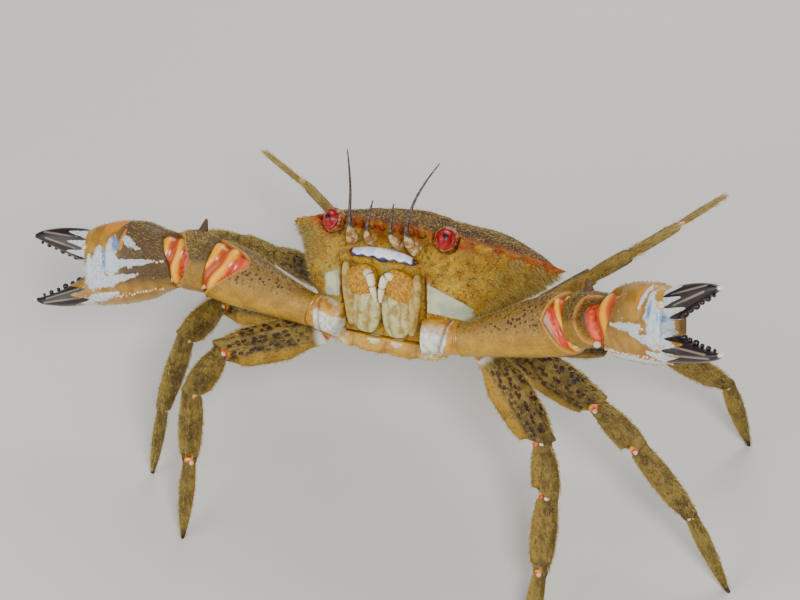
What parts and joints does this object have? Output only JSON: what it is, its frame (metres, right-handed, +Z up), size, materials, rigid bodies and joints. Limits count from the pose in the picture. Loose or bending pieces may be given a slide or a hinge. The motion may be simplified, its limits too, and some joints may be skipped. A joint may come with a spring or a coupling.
{
  "type": "velvet crab",
  "caption": "Life-size velvet swimming crab standing raised on its walking legs, claws spread and open, rear paddle legs lifted.",
  "frame": {"origin": "on the floor, under the middle of the bounding box", "axes": "+Z up, the crab faces -Y, its own left side is +X"},
  "size_m": [0.184, 0.1394, 0.0963],
  "materials": {
    "carapace": "short dense felt over a granular shell",
    "underside": "smooth, slightly waxy shell",
    "mouth": "hairy plates with pale patches",
    "epistome": "smooth pale shell",
    "eye": "wet and glossy",
    "feeler": "thin ringed whip",
    "arm": "granular shell with dark pits",
    "palm": "polished shell with granule rows",
    "finger": "polished dark shell",
    "leg": "mottled shell with hair fringes"
  },
  "bodies": {
    "root": {"carapace": "carapace", "sternum": "underside", "abdomen": "underside", "epistome": "epistome", "maxilliped_left": "mouth", "eye_left": "eye", "antenna_left": "feeler", "antennule_left": "feeler", "claw_left_ischium": "arm", "claw_left_merus": "arm", "claw_left_carpus": "arm", "claw_left_palm": "palm", "claw_left_dactyl": "finger", "leg2_left_merus": "leg", "leg2_left_carpus": "leg", "leg2_left_propodus": "leg", "leg2_left_dactyl": "leg", "leg3_left_merus": "leg", "leg3_left_carpus": "leg", "leg3_left_propodus": "leg", "leg3_left_dactyl": "leg", "leg4_left_merus": "leg", "leg4_left_carpus": "leg", "leg4_left_propodus": "leg", "leg4_left_dactyl": "leg", "leg5_left_merus": "leg", "leg5_left_carpus": "leg", "leg5_left_propodus": "leg", "leg5_left_dactyl": "leg", "maxilliped_right": "mouth", "eye_right": "eye", "antenna_right": "feeler", "antennule_right": "feeler", "claw_right_ischium": "arm", "claw_right_merus": "arm", "claw_right_carpus": "arm", "claw_right_palm": "palm", "claw_right_dactyl": "finger", "leg2_right_merus": "leg", "leg2_right_carpus": "leg", "leg2_right_propodus": "leg", "leg2_right_dactyl": "leg", "leg3_right_merus": "leg", "leg3_right_carpus": "leg", "leg3_right_propodus": "leg", "leg3_right_dactyl": "leg", "leg4_right_merus": "leg", "leg4_right_carpus": "leg", "leg4_right_propodus": "leg", "leg4_right_dactyl": "leg", "leg5_right_merus": "leg", "leg5_right_carpus": "leg", "leg5_right_propodus": "leg", "leg5_right_dactyl": "leg"}
  },
  "joints": []
}
